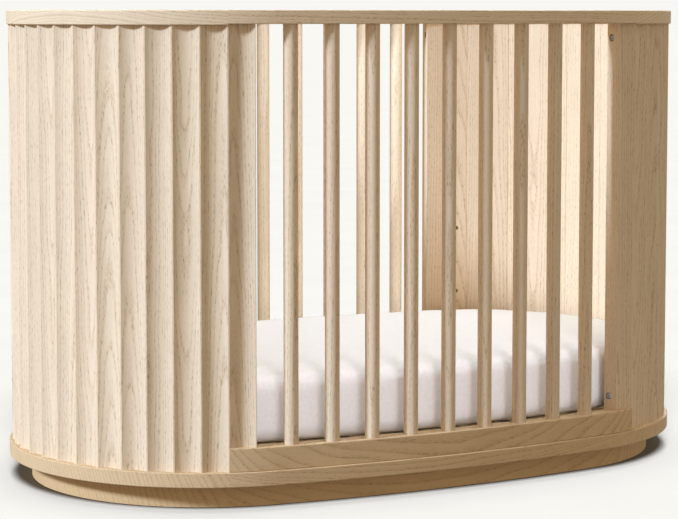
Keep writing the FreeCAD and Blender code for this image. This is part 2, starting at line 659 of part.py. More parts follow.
slat_screw.Tool = primitive("Cylinder", "slat_screw_head", spot(z="-slat_screw_head_tall"),
                            Radius="slat_screw_head / 2", Height="slat_screw_head_tall")
slat_hole = doc.addObject("Part::Fuse", "slat_hole")
slat_hole.Base = primitive("Cylinder", "slat_hole_shank", spot(z="-slat_thick - slat_screw_bite - wood_fit"),
                           Radius="slat_screw_across / 2 + wood_fit",
                           Height="slat_thick + slat_screw_bite + cut_over")
slat_hole.Tool = primitive("Cylinder", "slat_hole_head", spot(z="-slat_screw_head_tall - wood_fit"),
                           Radius="slat_screw_head / 2 + wood_fit",
                           Height="slat_screw_head_tall + slat_screw_sunk + cut_over")
slat_holes = copies("slat_holes", slat_hole, slat_screw_places)
slat_group = doc.addObject("Part::Compound", "slat_group")
slat_group.Links = slats
node(cut("support_slats", slat_group, slat_holes), "support_slats")
node(copies("slat_screws", slat_screw, slat_screw_places), "slat_screws")

for name in ("right", "left"):
    node(cut(f"support_end_{name}", frame[name], seam_bores, hanger_screw_holes, slat_holes),
         f"support_end_{name}")
for name in ("front", "rear"):
    node(cut(f"support_side_{name}", frame[name], seam_bores, slat_holes), f"support_side_{name}")

# ---------------------------------------------------------------- hangers
HANGER_BACK = f"({HANGER_FACE} + hanger_thick)"
HANGER_TIP = f"({HANGER_FACE} - hanger_reach)"
HANGER_TOP = f"({HANGER_BOLT_Z} + hanger_above_bolt)"
HANGER_LEG_TOP = f"({HANGER_FLOOR} + hanger_thick)"
angle_iron = padded("hanger_angle", "XZ_Plane",
                    [(HANGER_TIP, HANGER_FLOOR), (HANGER_BACK, HANGER_FLOOR), (HANGER_BACK, HANGER_TOP),
                     (HANGER_FACE, HANGER_TOP), (HANGER_FACE, HANGER_LEG_TOP),
                     (HANGER_TIP, HANGER_LEG_TOP)], "hanger_width", midplane=True)
SLOT_HALF = "(shoulder_across / 2 + rest_gap)"
slot = primitive("Box", "hanger_slot", spot(f"{HANGER_FACE} - 1", f"-{SLOT_HALF}", f"{HANGER_FLOOR} - 1"),
                 Length="hanger_thick + 2", Width=f"2 * {SLOT_HALF}",
                 Height=f"{HANGER_BOLT_Z} - {HANGER_FLOOR} + 1")
slot_end = primitive("Cylinder", "hanger_slot_end",
                     f"{spot(f'{HANGER_FACE} - 1', z=HANGER_BOLT_Z)}"
                     " * placement(vector(0; 0; 0); rotation(vector(0; 1; 0); 90))",
                     Radius=SLOT_HALF, Height="hanger_thick + 2")
NOTCH_HALF = "(shoulder_head_across / 2 + 1)"
notch = primitive("Box", "hanger_notch",
                  spot(f"{HANGER_FACE} - shoulder_head_tall - 2", f"-{NOTCH_HALF}", f"{HANGER_FLOOR} - 1"),
                  Length="shoulder_head_tall + 2 + hanger_thick + 1", Width=f"2 * {NOTCH_HALF}",
                  Height="hanger_thick + 1")
hanger_blank = cut("hanger_blank", angle_iron, slot, slot_end, notch)
hangers = copies("hangers_blank", hanger_blank,
                 [corner_spot(corner, HANGER_ANGLE, "0") for corner in CORNERS])
node(cut("support_hangers", hangers, hanger_screw_holes), "support_hangers")

# ---------------------------------------------------------------- mattress
node(padded("mattress_blank", "XY_Plane", oval(MATTRESS_INSET), "mattress_thick",
            spot(z=MATTRESS_FLOOR), ease="mattress_edge"), "mattress")

# ---------------------------------------------------------------- checks and export
doc.recompute()
failed = [thing.Label for thing in doc.Objects if {"Invalid", "Error"} & set(thing.State)]
if failed:
    raise SystemExit(f"these objects failed to compute: {failed}")
os.makedirs("parts", exist_ok=True)
for thing in nodes:
    if thing.Shape.isNull() or not thing.Shape.isValid() or not thing.Shape.Solids:
        raise SystemExit(f"{thing.Label} has no valid solid")
for thing in nodes:
    thing.Shape.exportStep(f"parts/{thing.Label}.step")
    print(thing.Label, len(thing.Shape.Solids), round(thing.Shape.Volume))
print(len(nodes), "nodes")
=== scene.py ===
"""An oval baby crib in pale oak: fluted curved ends, round spindles, a plinth, and a fitted sheet."""
import math

import bpy
import numpy as np
from mathutils import Euler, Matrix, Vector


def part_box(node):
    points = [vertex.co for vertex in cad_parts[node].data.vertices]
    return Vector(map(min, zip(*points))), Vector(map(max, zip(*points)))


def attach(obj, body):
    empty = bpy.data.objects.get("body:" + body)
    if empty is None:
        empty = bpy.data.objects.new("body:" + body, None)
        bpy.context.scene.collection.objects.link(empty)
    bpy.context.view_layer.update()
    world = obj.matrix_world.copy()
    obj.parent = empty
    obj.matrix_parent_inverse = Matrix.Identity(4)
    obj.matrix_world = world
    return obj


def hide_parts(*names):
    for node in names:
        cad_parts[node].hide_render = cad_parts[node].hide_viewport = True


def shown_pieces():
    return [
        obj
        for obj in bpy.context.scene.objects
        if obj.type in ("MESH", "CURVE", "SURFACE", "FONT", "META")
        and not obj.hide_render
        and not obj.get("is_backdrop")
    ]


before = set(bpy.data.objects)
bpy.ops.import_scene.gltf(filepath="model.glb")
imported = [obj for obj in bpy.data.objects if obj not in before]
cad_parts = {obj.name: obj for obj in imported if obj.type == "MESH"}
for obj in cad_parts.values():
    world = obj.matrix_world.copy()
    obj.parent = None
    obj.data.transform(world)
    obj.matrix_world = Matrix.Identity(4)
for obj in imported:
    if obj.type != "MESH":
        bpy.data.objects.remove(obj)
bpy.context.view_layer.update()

# ---------------------------------------------------------------- end staves and posts
# Nineteen oak staves to each end, hollowed outside on a spindle moulder and glued edge to edge, and a post
# of the same section at each side of the openings. The grain runs upwards, and each stave is its own board,
# flat sawn with arched figure or rift sawn with straight lines, under a matt clear lacquer.
END_RADIUS = 0.414
END_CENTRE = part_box("top_rail_right")[1].x - END_RADIUS
END_HALF_TURN = math.radians(70)
STAVES = 19
FLUTE_TURN = 2 * END_HALF_TURN / STAVES
WALL_RADIUS = END_RADIUS - 0.02
OAK_PALE = "#E0C7A7"
OAK_MID = "#C6A67F"
OAK_PORE = "#7D5F3E"


def linear(colour):
    """An sRGB hex colour as linear red, green, blue, and alpha 1."""
    channels = [int(colour[i:i + 2], 16) / 255 for i in (1, 3, 5)]
    return [c / 12.92 if c <= 0.04045 else ((c + 0.055) / 1.055) ** 2.4 for c in channels] + [1]


def add(tree, kind, inputs=None, **settings):
    """Adds one node, with its settings, and its inputs by name or number: a value, or a socket to link."""
    made = tree.nodes.new("ShaderNode" + kind)
    for name, setting in settings.items():
        setattr(made, name, setting)
    for name, source in (inputs or {}).items():
        if isinstance(source, bpy.types.NodeSocket):
            tree.links.new(source, made.inputs[name])
        else:
            made.inputs[name].default_value = source
    return made


def new_material(name):
    """A material with an empty node tree, its tree, and its shader, already joined to the output."""
    material = bpy.data.materials.new(name)
    material.use_nodes = True
    tree = material.node_tree
    tree.nodes.clear()
    shader = add(tree, "BsdfPrincipled")
    add(tree, "OutputMaterial", {"Surface": shader.outputs[0]})
    return material, tree, shader


def dress(material, *names):
    """Puts a material on CAD nodes."""
    for name in names:
        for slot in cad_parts[name].material_slots:
            slot.material = material


def steps(ramp, stops):
    """Sets a colour ramp's stops: each a position and its linear colour, or a grey level."""
    while len(ramp.elements) < len(stops):
        ramp.elements.new(0.5)
    for element, (position, level) in zip(ramp.elements, stops):
        element.position = position
        element.color = level if isinstance(level, list) else [level, level, level, 1]


def stave_boards(tree, xyz):
    """Each stave's own axes: across it along the end's arc, outward from the end's centre, and up.
    Its number is the turn from the crib's length in flute widths, rounded, plus a hundred at the left end."""
    over = add(tree, "Math", {0: xyz[0]}, operation="ABSOLUTE").outputs[0]
    out = add(tree, "Math", {0: over, 1: END_CENTRE}, operation="SUBTRACT").outputs[0]
    turn = add(tree, "Math", {0: xyz[1], 1: out}, operation="ARCTAN2").outputs[0]
    flutes = add(tree, "Math", {0: turn, 1: FLUTE_TURN}, operation="DIVIDE").outputs[0]
    number = add(tree, "Math", {0: flutes}, operation="ROUND").outputs[0]
    rest = add(tree, "Math", {0: flutes, 1: number}, operation="SUBTRACT").outputs[0]
    across = add(tree, "Math", {0: rest, 1: FLUTE_TURN * WALL_RADIUS}, operation="MULTIPLY").outputs[0]
    flat = add(tree, "CombineXYZ", {0: out, 1: xyz[1]}).outputs[0]
    radius = add(tree, "VectorMath", {0: flat}, operation="LENGTH").outputs["Value"]
    depth = add(tree, "Math", {0: radius, 1: WALL_RADIUS}, operation="SUBTRACT").outputs[0]
    left = add(tree, "Math", {0: xyz[0], 1: 0.0}, operation="LESS_THAN").outputs[0]
    board = add(tree, "Math", {0: left, 1: 100.0, 2: number}, operation="MULTIPLY_ADD").outputs[0]
    return (across, depth, xyz[2]), board


# How often each part of the grain repeats in a metre: twice across the board, then along it. Slow bends are
# about 110 mm wide and 220 mm long, pores 1.3 mm by 9.5 mm dashes, and fibres 3 mm by 125 mm streaks.
BENDS = (9.0, 9.0, 4.5)
PORES = (760.0, 760.0, 105.0)
FIBRES = (330.0, 330.0, 8.0)
BEND_REACH = 0.010
RING_JITTER = 0.006
EARLY_WOOD = [(0.0, 0.7), (0.07, 1.0), (0.28, 0.30), (0.55, 0.05), (0.94, 0.0), (1.0, 0.7)]


def oak(name, boards, pale=OAK_PALE, mid=OAK_MID, ring_mm=4.5, spread=0.24, lean=0.09, pore_share=0.50,
        tone=0.07):
    """Solid oak. boards gives a point's place in its own board (across, depth, along) and the board's number.
    Growth rings are the distance to a pith line beside the board, which leans, bent by slow noise: a cut near
    the pith line's side shows arches and one away from it straight lines. Oak has its pores, short dark
    dashes along the grain, in each ring's first third. Real rings are 1.5 to 3 mm and pores 0.3 mm wide;
    both are drawn two to four times as coarse, so that they show. The lacquer is matt."""
    material, tree, shader = new_material(name)
    xyz = add(tree, "SeparateXYZ", {0: add(tree, "TexCoord").outputs["Object"]}).outputs
    (across, depth, along), board = boards(tree, xyz)
    chance = add(tree, "TexWhiteNoise", {"W": board}, noise_dimensions="1D").outputs["Color"]
    luck = add(tree, "SeparateXYZ", {0: chance}).outputs
    # each board starts at a place of its own in the noise, up to 7 m along it
    far = add(tree, "Math", {0: luck[2], 1: 7.0, 2: along}, operation="MULTIPLY_ADD").outputs[0]
    placed = add(tree, "CombineXYZ", {0: across, 1: depth, 2: far}).outputs[0]
    slow = add(tree, "VectorMath", {0: placed, 1: BENDS}, operation="MULTIPLY").outputs[0]
    bend = add(tree, "TexNoise", {"Vector": slow, "Scale": 1.0, "Detail": 2.0}).outputs["Color"]
    bend = add(tree, "VectorMath", {0: bend, 1: (0.5, 0.5, 0.5)}, operation="SUBTRACT").outputs[0]
    # the pith line: beside the board by up to half of spread, 35 to 115 mm behind it, and leaning along it
    beside = add(tree, "Math", {0: luck[0], 1: spread, 2: -spread / 2}, operation="MULTIPLY_ADD").outputs[0]
    behind = add(tree, "Math", {0: luck[1], 1: -0.08, 2: -0.035}, operation="MULTIPLY_ADD").outputs[0]
    slope = add(tree, "Math", {0: luck[2], 1: lean, 2: -lean / 2}, operation="MULTIPLY_ADD").outputs[0]
    fall = add(tree, "Math", {0: slope, 1: along}, operation="MULTIPLY").outputs[0]
    back = add(tree, "Math", {0: behind, 1: fall}).outputs[0]
    pith = add(tree, "CombineXYZ", {0: beside, 1: back}).outputs[0]
    flat = add(tree, "CombineXYZ", {0: across, 1: depth}).outputs[0]
    from_pith = add(tree, "VectorMath", {0: flat, 1: pith}, operation="SUBTRACT").outputs[0]
    bent = add(tree, "VectorMath", {0: bend, 1: (BEND_REACH, BEND_REACH, 0.0), 2: from_pith},
               operation="MULTIPLY_ADD").outputs[0]
    radius = add(tree, "VectorMath", {0: bent}, operation="LENGTH").outputs["Value"]
    uneven = add(tree, "TexNoise", {"W": radius, "Scale": 90.0, "Detail": 1.0},
                 noise_dimensions="1D").outputs[0]
    radius = add(tree, "Math", {0: uneven, 1: RING_JITTER, 2: radius}, operation="MULTIPLY_ADD").outputs[0]
    rings = add(tree, "Math", {0: radius, 1: 1000 / ring_mm}, operation="MULTIPLY").outputs[0]
    phase = add(tree, "Math", {0: rings}, operation="FRACT").outputs[0]
    early = add(tree, "ValToRGB", {0: phase})
    steps(early.color_ramp, EARLY_WOOD)
    early = early.outputs["Color"]
    # pores, most of them in the early wood, and fibres
    dashes = add(tree, "VectorMath", {0: placed, 1: PORES}, operation="MULTIPLY").outputs[0]
    pores = add(tree, "TexNoise", {"Vector": dashes, "Scale": 1.0, "Detail": 0.0}).outputs[0]
    pores = add(tree, "MapRange", {"Value": pores, "From Min": 0.59, "From Max": 0.66}).outputs[0]
    share = add(tree, "Math", {0: early, 1: 0.85, 2: 0.15}, operation="MULTIPLY_ADD").outputs[0]
    pores = add(tree, "Math", {0: pores, 1: share}, operation="MULTIPLY").outputs[0]
    streaks = add(tree, "VectorMath", {0: placed, 1: FIBRES}, operation="MULTIPLY").outputs[0]
    fibres = add(tree, "TexNoise", {"Vector": streaks, "Scale": 1.0, "Detail": 3.0}).outputs[0]
    cloud = add(tree, "TexNoise", {"Vector": slow, "Scale": 2.2, "Detail": 2.0}).outputs[0]
    # colour: pale late wood, browner early wood, dark pores, then lighter and darker boards and streaks
    ring_mix = add(tree, "Math", {0: early, 1: 0.42}, operation="MULTIPLY").outputs[0]
    colour = add(tree, "Mix", {"Factor": ring_mix, "A": linear(pale), "B": linear(mid)}, data_type="RGBA")
    pore_mix = add(tree, "Math", {0: pores, 1: pore_share}, operation="MULTIPLY").outputs[0]
    colour = add(tree, "Mix", {"Factor": pore_mix, "A": colour.outputs["Result"], "B": linear(OAK_PORE)},
                 data_type="RGBA")
    light = add(tree, "Math", {0: luck[1], 1: tone, 2: 1 - tone * 0.55}, operation="MULTIPLY_ADD").outputs[0]
    light = add(tree, "Math", {0: fibres, 1: 0.14, 2: light}, operation="MULTIPLY_ADD").outputs[0]
    light = add(tree, "Math", {0: cloud, 1: 0.14, 2: light}, operation="MULTIPLY_ADD").outputs[0]
    light = add(tree, "Math", {0: light, 1: 0.14}, operation="SUBTRACT").outputs[0]
    colour = add(tree, "VectorMath", {0: colour.outputs["Result"], "Scale": light}, operation="SCALE")
    tree.links.new(colour.outputs[0], shader.inputs["Base Color"])
    shine = add(tree, "MapRange", {"Value": pores, "To Min": 0.64, "To Max": 0.82}).outputs[0]
    tree.links.new(shine, shader.inputs["Roughness"])
    raised = add(tree, "Math", {0: pores, 1: -0.8, 2: fibres}, operation="MULTIPLY_ADD").outputs[0]
    bump = add(tree, "Bump", {"Strength": 0.30, "Distance": 0.00025, "Height": raised})
    tree.links.new(bump.outputs[0], shader.inputs["Normal"])
    shader.inputs["IOR"].default_value = 1.5
    shader.inputs["Specular IOR Level"].default_value = 0.3
    return material


oak_staves = oak("lacquered_oak_staves", stave_boards)
dress(oak_staves, "end_staves_left", "end_staves_right", "post_front_left", "post_front_right",
      "post_rear_left", "post_rear_right")

# ---------------------------------------------------------------- spindles
# Nine 28.5 mm round oak dowels to each side, turned from straight-grained stock, glued into bored rails.
SPINDLES = 9
SPINDLE_PITCH = (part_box("spindle_front_9")[0].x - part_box("spindle_front_1")[0].x) / (SPINDLES - 1)
ROW_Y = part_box("spindle_rear_5")[0].y


def spindle_boards(tree, xyz):
    """Each spindle's own axes: along the row from the spindle's middle, outward from its inner side, and up.
    Its number is its place from the crib's middle, rounded, plus 40.5 in the front row."""
    places = add(tree, "Math", {0: xyz[0], 1: SPINDLE_PITCH}, operation="DIVIDE").outputs[0]
    number = add(tree, "Math", {0: places}, operation="ROUND").outputs[0]
    rest = add(tree, "Math", {0: places, 1: number}, operation="SUBTRACT").outputs[0]
    across = add(tree, "Math", {0: rest, 1: SPINDLE_PITCH}, operation="MULTIPLY").outputs[0]
    over = add(tree, "Math", {0: xyz[1]}, operation="ABSOLUTE").outputs[0]
    depth = add(tree, "Math", {0: over, 1: ROW_Y}, operation="SUBTRACT").outputs[0]
    front = add(tree, "Math", {0: xyz[1], 1: 0.0}, operation="LESS_THAN").outputs[0]
    board = add(tree, "Math", {0: front, 1: 40.5, 2: number}, operation="MULTIPLY_ADD").outputs[0]
    return (across, depth, xyz[2]), board


oak_spindles = oak("lacquered_oak_spindles", spindle_boards, ring_mm=4.0, spread=0.10, lean=0.03,
                   pore_share=0.55)
dress(oak_spindles, *[f"spindle_{row}_{n + 1}" for row in ("front", "rear") for n in range(SPINDLES)])

# ---------------------------------------------------------------- top rail, bottom rails and base band
# Curved pieces sawn from wide straight boards whose grain runs along the crib, so that their narrow faces cut
# across the rings: long lines at the middle of the sides, slanting ones towards the seams, end grain at the
# tips.
LEVEL = 0.075


def rail_boards(tree, xyz):
    """A rail's board: across the crib, up, and along it. An end piece spans END_HALF_TURN to each side of
    the crib's length about its end's centre. The number changes from piece to piece, and with every LEVEL."""
    over = add(tree, "Math", {0: xyz[0]}, operation="ABSOLUTE").outputs[0]
    out = add(tree, "Math", {0: over, 1: END_CENTRE}, operation="SUBTRACT").outputs[0]
    aside = add(tree, "Math", {0: xyz[1]}, operation="ABSOLUTE").outputs[0]
    turn = add(tree, "Math", {0: aside, 1: out}, operation="ARCTAN2").outputs[0]
    at_end = add(tree, "Math", {0: turn, 1: END_HALF_TURN}, operation="LESS_THAN").outputs[0]
    where = add(tree, "Mix", {"Factor": at_end, 2: xyz[1], 3: xyz[0]}).outputs[0]
    far_side = add(tree, "Math", {0: where}, operation="SIGN").outputs[0]
    piece = add(tree, "Math", {0: at_end, 1: 5.3, 2: far_side}, operation="MULTIPLY_ADD").outputs[0]
    level = add(tree, "Math", {0: xyz[2], 1: LEVEL}, operation="SNAP").outputs[0]
    board = add(tree, "Math", {0: level, 1: 9.1, 2: piece}, operation="MULTIPLY_ADD").outputs[0]
    return (xyz[1], xyz[2], xyz[0]), board


oak_rails = oak("lacquered_oak_rails", rail_boards, pale="#E3C9A7", mid="#C4A47B", ring_mm=6.0, spread=0.9,
                lean=0.05)
dress(oak_rails, "top_rail_left", "top_rail_right", "top_rail_front", "top_rail_rear")
# The base band and bottom rails take a darker copy of the rail oak. This is painted shade, because these low
# pieces are darker from the front.
oak_base_painted_shade = oak("lacquered_oak_base_painted_shade", rail_boards, pale="#D0B087", mid="#B38F60", ring_mm=6.0, spread=0.9,
               lean=0.05)
dress(oak_base_painted_shade, "base_band_left", "base_band_right", "base_band_front", "base_band_rear", "bottom_rail_front",
      "bottom_rail_rear")

# ---------------------------------------------------------------- plinth
# A recessed ring of 22 mm oak that stands on felt glides. Blocks inside it take screws up into the base band.
# Its oak is a darker copy of the rail oak. This is painted shade for the shadow under the base band's
# overhang.
oak_plinth_painted_shade = oak("lacquered_oak_plinth_painted_shade", rail_boards, pale="#CFAB7D", mid="#B9925F", ring_mm=8.0, spread=0.6,
                 lean=0.04)
dress(oak_plinth_painted_shade, "plinth_left", "plinth_right", "plinth_front", "plinth_rear", "plinth_blocks")

# ---------------------------------------------------------------- dowels
# 8 mm fluted beech dowels glued across the joints. Beech is even and pinkish, with fine short flecks.


def beech(name):
    """Beech: a matt pinkish buff with 0.5 mm by 4 mm ray flecks along its length, drawn at twice that."""
    material, tree, shader = new_material(name)
    place = add(tree, "TexCoord").outputs["Object"]
    stretched = add(tree, "Mapping", {"Vector": place, "Scale": (1000.0, 1000.0, 130.0)}).outputs[0]
    flecks = add(tree, "TexNoise", {"Vector": stretched, "Scale": 1.0, "Detail": 2.0}).outputs[0]
    ramp = add(tree, "ValToRGB", {0: flecks})
    steps(ramp.color_ramp, [(0.35, linear("#C79A73")), (0.65, linear("#E0BD98"))])
    tree.links.new(ramp.outputs["Color"], shader.inputs["Base Color"])
    bump = add(tree, "Bump", {"Strength": 0.2, "Distance": 0.0003, "Height": flecks})
    tree.links.new(bump.outputs[0], shader.inputs["Normal"])
    shader.inputs["Roughness"].default_value = 0.6
    return material


dress(beech("sanded_beech"), "end_dowels", "side_dowels", "support_dowels")

# ---------------------------------------------------------------- bolts, washers, inserts and screws
# Zinc-plated hex-socket bolts with dark washers in counterbores, brass inserts for them, and wood screws
# plated in yellow zinc.


def metal(name, colour, roughness, grain_mm):
    """A metal with a fine turned or rolled grain of that size in its colour, roughness and height, which
    breaks up its highlights."""
    material, tree, shader = new_material(name)
    place = add(tree, "TexCoord").outputs["Object"]
    grain = add(tree, "TexNoise", {"Vector": place, "Scale": 1000 / grain_mm, "Detail": 3.0}).outputs[0]
    ramp = add(tree, "ValToRGB", {0: grain})
    bright = linear(colour)
    dull = [channel * 0.82 for channel in bright[:3]] + [1]
    steps(ramp.color_ramp, [(0.3, dull), (0.7, bright)])
    tree.links.new(ramp.outputs["Color"], shader.inputs["Base Color"])
    uneven = add(tree, "MapRange", {"Value": grain, "To Min": roughness - 0.08, "To Max": roughness + 0.12})
    tree.links.new(uneven.outputs[0], shader.inputs["Roughness"])
    bump = add(tree, "Bump", {"Strength": 0.15, "Distance": 0.0001, "Height": grain})
    tree.links.new(bump.outputs[0], shader.inputs["Normal"])
    shader.inputs["Metallic"].default_value = 1.0
    return material


# zinc plate is bright and a little blue, blackened steel dark and dull, brass and yellow zinc warm
dress(metal("zinc_plated_steel", "#C9CACC", 0.28, 1.5), "panel_bolts", "shoulder_bolts")
dress(metal("blackened_steel", "#4A4A4B", 0.42, 1.0), "panel_bolt_washers")
dress(metal("turned_brass", "#C8A878", 0.45, 0.8), "panel_bolt_inserts", "support_inserts")
dress(metal("yellow_zinc_screws", "#BFA76A", 0.35, 0.8), "plinth_screws", "slat_screws", "hanger_screws")

# ---------------------------------------------------------------- glides
# Pressed wool felt discs stuck under the plinth, 1.5 mm thick. Felt is quite matt, and mottled by its fibres,
# which are 0.02 mm thick and show as 1 mm tufts.
felt, tree, shader = new_material("pressed_wool_felt")
place = add(tree, "TexCoord").outputs["Object"]
fuzz = add(tree, "TexNoise", {"Vector": place, "Scale": 900.0, "Detail": 4.0}).outputs[0]
shade = add(tree, "ValToRGB", {0: fuzz})
steps(shade.color_ramp, [(0.3, linear("#6E675E")), (0.7, linear("#9C9488"))])
tree.links.new(shade.outputs["Color"], shader.inputs["Base Color"])
bump = add(tree, "Bump", {"Strength": 0.6, "Distance": 0.0006, "Height": fuzz})
tree.links.new(bump.outputs[0], shader.inputs["Normal"])
shader.inputs["Roughness"].default_value = 0.95
dress(felt, "glides")

# ---------------------------------------------------------------- mattress support
# A frame and slats of poplar under the mattress, hung on four steel angles that hook over shoulder bolts.
# Poplar is paler and greener than oak, with almost no pores to see. Zinc shows as spangles on the angles.
FRAME_STEP = 0.2
SLAT_PITCH = 0.125


def support_boards(tree, xyz):
    """The frame's boards run along the crib. A board's number is its place across it, in FRAME_STEPs."""
    number = add(tree, "Math", {0: xyz[1], 1: FRAME_STEP}, operation="SNAP").outputs[0]
    return (xyz[1], xyz[2], xyz[0]), number


def slat_boards(tree, xyz):
    """Each slat runs across the crib, and its number is its place along it."""
    number = add(tree, "Math", {0: xyz[0], 1: SLAT_PITCH}, operation="SNAP").outputs[0]
    return (xyz[0], xyz[2], xyz[1]), number


poplar_frame = oak("sawn_poplar_frame", support_boards, pale="#E2D0AE", mid="#D3BD93", ring_mm=8.0,
                   spread=0.3, lean=0.04, pore_share=0.15)
dress(poplar_frame, "support_end_left", "support_end_right", "support_side_front", "support_side_rear",
      "support_centre_rail")
poplar_slats = oak("planed_poplar_slats", slat_boards, pale="#E6D6B8", mid="#D6C29C", ring_mm=7.0, spread=0.2,
                   lean=0.05, pore_share=0.15)
dress(poplar_slats, "support_slats")
dress(metal("galvanised_steel_angle", "#B4B7BA", 0.40, 6.0), "support_hangers")

# ---------------------------------------------------------------- mattress
# A 140 mm foam mattress in a fitted sheet of white cotton percale, drawn tight by elastic underneath. The
# sheet is swelled over a slightly smaller foam shape by a cloth simulation, then puckered where the elastic
# pulls.
mattress_low, mattress_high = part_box("mattress")
SWELL = 0.006
EDGE = 0.028
LIFT = 0.0006
LEAST_LIFT = 0.0004
SHEET_VOXEL = 0.0095
CLOTH_FRAMES = 20
PUCKER_LONG = 0.034
PUCKER_DEEP = 0.0011
SLACK_DEEP = 0.0009
SIDE_INSET = END_RADIUS - (mattress_high.x - END_CENTRE)
HALF_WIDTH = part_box("top_rail_rear")[1].y
SIDE_RADIUS = (END_CENTRE ** 2 + HALF_WIDTH ** 2 - END_RADIUS ** 2) / (2 * (HALF_WIDTH - END_RADIUS))
TANGENT = math.atan2(SIDE_RADIUS - HALF_WIDTH, END_CENTRE)


def oval(inset, turn):
    """A point of the four-arc plan at an inset, for a turn of its outward normal, as whole arrays:
    the end arcs' centres are on the length, the side arcs' on the width, and they share tangents."""
    at_end = np.abs(np.cos(turn)) > math.cos(TANGENT)
    radius = np.where(at_end, END_RADIUS - inset, SIDE_RADIUS - inset)
    x = np.where(at_end, np.sign(np.cos(turn)) * END_CENTRE, 0.0) + radius * np.cos(turn)
    y = np.where(at_end, 0.0, -np.sign(np.sin(turn)) * (SIDE_RADIUS - HALF_WIDTH)) + radius * np.sin(turn)
    return x, y


def foam_shape(name, swell):
    """A closed grid: round the oval by profile. The profile goes from the middle of the underside out to the
    edge, up its rounded side and back to the middle of the top; each row is the oval at that inset, shrunk
    to a point at both middles."""
    half = np.r_[np.linspace(0, TANGENT, 40, endpoint=False),
                 np.linspace(TANGENT, math.pi - TANGENT, 60, endpoint=False),
                 np.linspace(math.pi - TANGENT, math.pi, 40, endpoint=False)]
    turn = np.r_[half, half + math.pi]
    low = mattress_low.z + LIFT
    high = mattress_high.z - swell
    side = SIDE_INSET + swell
    curl = np.linspace(0, math.pi / 2, 9)
    inset = np.r_[np.full(6, side + EDGE), side + EDGE - EDGE * np.sin(curl),
                  side + EDGE - EDGE * np.cos(curl), np.full(6, side + EDGE)]
    height = np.r_[np.full(6, low), low + EDGE * (1 - np.cos(curl)), high - EDGE * (1 - np.sin(curl)),
                   np.full(6, high)]
    share = np.r_[np.linspace(0.02, 0.9, 6), np.ones(2 * len(curl)), np.linspace(0.9, 0.02, 6)]
    x, y = oval(inset[:, None], turn[None, :])
    points = np.stack([x * share[:, None], y * share[:, None], np.broadcast_to(height[:, None], x.shape)], -1)
    rows, columns = x.shape
    points = np.vstack([points.reshape(-1, 3), [[0, 0, low], [0, 0, high]]])
    number = np.arange(rows * columns).reshape(rows, columns)
    after = np.roll(number, -1, axis=1)
    quads = np.stack([number[:-1], after[:-1], after[1:], number[1:]], -1).reshape(-1, 4)
    faces = quads.tolist()
    faces += [[rows * columns, b, a] for a, b in zip(number[0].tolist(), after[0].tolist())]
    faces += [[rows * columns + 1, a, b] for a, b in zip(number[-1].tolist(), after[-1].tolist())]
    mesh = bpy.data.meshes.new(name)
    mesh.from_pydata(points.tolist(), [], faces)
    piece = bpy.data.objects.new(name, mesh)
    bpy.context.scene.collection.objects.link(piece)
    return piece


def settle(piece):
    """Replaces the piece's mesh by what its modifiers make of it, and drops them."""
    made = piece.evaluated_get(bpy.context.evaluated_depsgraph_get())
    mesh = bpy.data.meshes.new_from_object(made)
    piece.modifiers.clear()
    piece.data = mesh
    return piece


def vertices(piece):
    """The mesh's vertices as an array."""
    points = np.zeros(len(piece.data.vertices) * 3, np.float32)
    piece.data.vertices.foreach_get("co", points)
    return points.reshape(-1, 3).astype(float)


sheet = foam_shape("fitted_sheet_mattress", SWELL)
remesh = sheet.modifiers.new("even_quads", "REMESH")
remesh.mode = "VOXEL"
remesh.voxel_size = SHEET_VOXEL
settle(sheet)
before = vertices(sheet)
after = before.copy()
cloth = sheet.modifiers.new("percale", "CLOTH")
cloth.settings.quality = 6
cloth.settings.mass = 0.25
cloth.settings.use_pressure = True
cloth.settings.uniform_pressure_force = 4
cloth.settings.effector_weights.gravity = 0
cloth.point_cache.frame_end = CLOTH_FRAMES
for step in range(1, CLOTH_FRAMES + 1):
    bpy.context.scene.frame_set(step)
made = sheet.evaluated_get(bpy.context.evaluated_depsgraph_get())
points = np.zeros(len(before) * 3, np.float32)
made.data.vertices.foreach_get("co", points)
moved = points.reshape(-1, 3) - before
far = np.linalg.norm(moved, axis=1, keepdims=True)
after = before + moved * np.minimum(1, SWELL / np.maximum(far, 1e-9))
sheet.modifiers.clear()
bpy.context.scene.frame_set(1)
# puckers: uneven waves round the edge, deepest on the lower third of the side and none above its middle;
# slack: broad shallow waves across the top, faded out at its edge
reach = np.linalg.norm(after[:, :2], axis=1)
outward = after[:, :2] / reach[:, None].clip(1e-6)
rise = (after[:, 2] - mattress_low.z) / (mattress_high.z - mattress_low.z)
on_side = np.clip((rise - 0.02) / 0.15, 0, 1) * np.clip((0.62 - rise) / 0.55, 0, 1)
path = reach * np.arctan2(after[:, 1], after[:, 0])
wave = np.sin(path / PUCKER_LONG * 2 * math.pi + 1.7 * np.sin(path * 11))
wave *= 0.6 + 0.4 * np.sin(path * 7.3 + 1)
after[:, :2] -= outward * (PUCKER_DEEP * on_side * (0.5 + 0.5 * wave))[:, None]
slack = np.sin(after[:, 0] * 9.1 + 2 * np.sin(after[:, 1] * 5)) * np.sin(after[:, 1] * 11.3 + 1.2)
after[:, 2] -= SLACK_DEEP * np.clip((rise - 0.9) / 0.08, 0, 1) * (0.5 + 0.5 * slack)
after[:, 2] = np.clip(after[:, 2], mattress_low.z + LEAST_LIFT, mattress_high.z)
sheet.data.vertices.foreach_set("co", after.astype(np.float32).ravel())
sheet.data.polygons.foreach_set("use_smooth", np.ones(len(sheet.data.polygons), bool))
smooth = sheet.modifiers.new("smooth", "SUBSURF")
smooth.levels = smooth.render_levels = 1

